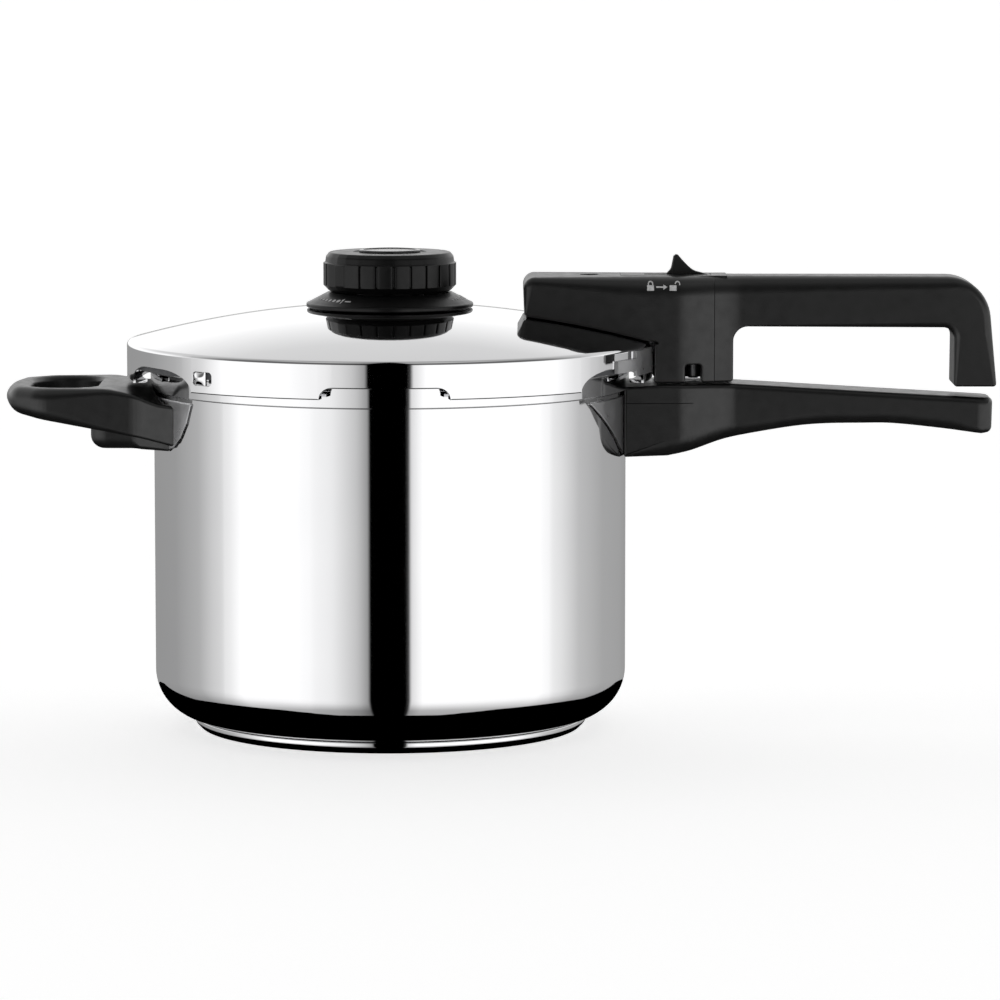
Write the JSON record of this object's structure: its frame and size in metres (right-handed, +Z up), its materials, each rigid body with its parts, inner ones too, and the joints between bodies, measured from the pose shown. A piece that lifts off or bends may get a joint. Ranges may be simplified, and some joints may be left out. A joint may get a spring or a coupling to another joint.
{
  "type": "stovetop pressure cooker",
  "caption": "Polished steel pressure cooker with a domed bayonet lid, a ribbed pressure knob, a pressure indicator, and a long lid handle with a sliding lock.",
  "frame": {"origin": "on the pot's axis, in the plane that rests on the stove", "axes": "+Z up; +X along the long handles; -Y is the side that the lock window and the safety window face"},
  "size_m": [0.4646, 0.247, 0.2254],
  "materials": {
    "polished_steel": "mirror-polished stainless steel",
    "satin_steel": "plain stainless steel",
    "aluminium": "plain disc",
    "handle_plastic": "moulded, fine grain",
    "knob_plastic": "moulded, smooth satin",
    "badge": "blank badge disc",
    "seal_rubber": "silicone rubber",
    "brass": "turned",
    "slider_plastic": "moulded, fine grain"
  },
  "bodies": {
    "pot": {"pot_body": "polished_steel", "base_core": "aluminium", "base_cap": "polished_steel", "pot_handle_bracket": "polished_steel", "pot_handle": "handle_plastic", "pot_handle_screw": "satin_steel", "strike_bush": "satin_steel", "helper_handle_bracket": "polished_steel", "helper_handle": "handle_plastic", "helper_handle_screw": "satin_steel"},
    "seal": {"sealing_ring": "seal_rubber"},
    "lid": {"lid_shell": "polished_steel", "lid_handle_bracket": "satin_steel", "lid_handle": "handle_plastic", "lid_handle_cover": "handle_plastic", "lid_handle_screws": "satin_steel", "regulator_nut": "satin_steel", "regulator_gasket": "seal_rubber", "inlet_screen": "satin_steel", "dial_ring": "knob_plastic", "valve_stem": "brass", "regulator_spring": "satin_steel", "knob_clip": "satin_steel", "indicator_seal": "seal_rubber", "safety_valve_body": "brass", "safety_valve_ball": "satin_steel", "safety_valve_spring": "satin_steel", "safety_valve_nut": "brass", "safety_valve_collar": "seal_rubber", "slider_detent_spring": "satin_steel"},
    "valve": {"valve_plunger": "satin_steel"},
    "knob": {"regulator_knob": "knob_plastic", "knob_badge": "badge"},
    "adjuster": {"spring_adjuster": "brass"},
    "indicator": {"indicator_pin": "satin_steel"},
    "slider": {"lock_slider": "slider_plastic", "lock_cam_plate": "satin_steel"},
    "bolt": {"lock_bolt": "satin_steel", "lock_follower_pin": "satin_steel"}
  },
  "joints": [
    {"name": "lid_lift", "type": "slide", "parent": "pot", "child": "seal", "axis": [0, 0, 1], "range_m": [0, 0.2]},
    {"name": "lid_turn", "type": "hinge", "parent": "seal", "child": "lid", "pos_m": [0, 0, 0.17], "axis": [0, 0, 1], "range_deg": [0, 30]},
    {"name": "knob_turn", "type": "hinge", "parent": "lid", "child": "knob", "pos_m": [0, 0, 0.21], "axis": [0, 0, 1], "range_deg": [0, 240]},
    {"name": "adjuster_feed", "type": "slide", "parent": "knob", "child": "adjuster", "axis": [0, 0, 1], "range_m": [0, 0.002]},
    {"name": "valve_lift", "type": "slide", "parent": "lid", "child": "valve", "axis": [0, 0, 1], "range_m": [0, 0.002], "stiffness_N_per_m": 1500, "springref_m": -0.0015, "deforming": ["regulator_spring"]},
    {"name": "indicator_rise", "type": "slide", "parent": "lid", "child": "indicator", "axis": [0, 0, 1], "range_m": [0, 0.0065]},
    {"name": "lock_slide", "type": "slide", "parent": "lid", "child": "slider", "axis": [-1, 0, 0], "range_m": [0, 0.01]},
    {"name": "bolt_drop", "type": "slide", "parent": "lid", "child": "bolt", "axis": [0, 0, -1], "range_m": [0, 0.007]}
  ],
  "couplings": [
    {"joint": "knob_turn", "follows": "adjuster_feed", "rad_per_m": 2094.4},
    {"joint": "bolt_drop", "follows": "lock_slide", "ratio": 0.7}
  ]
}
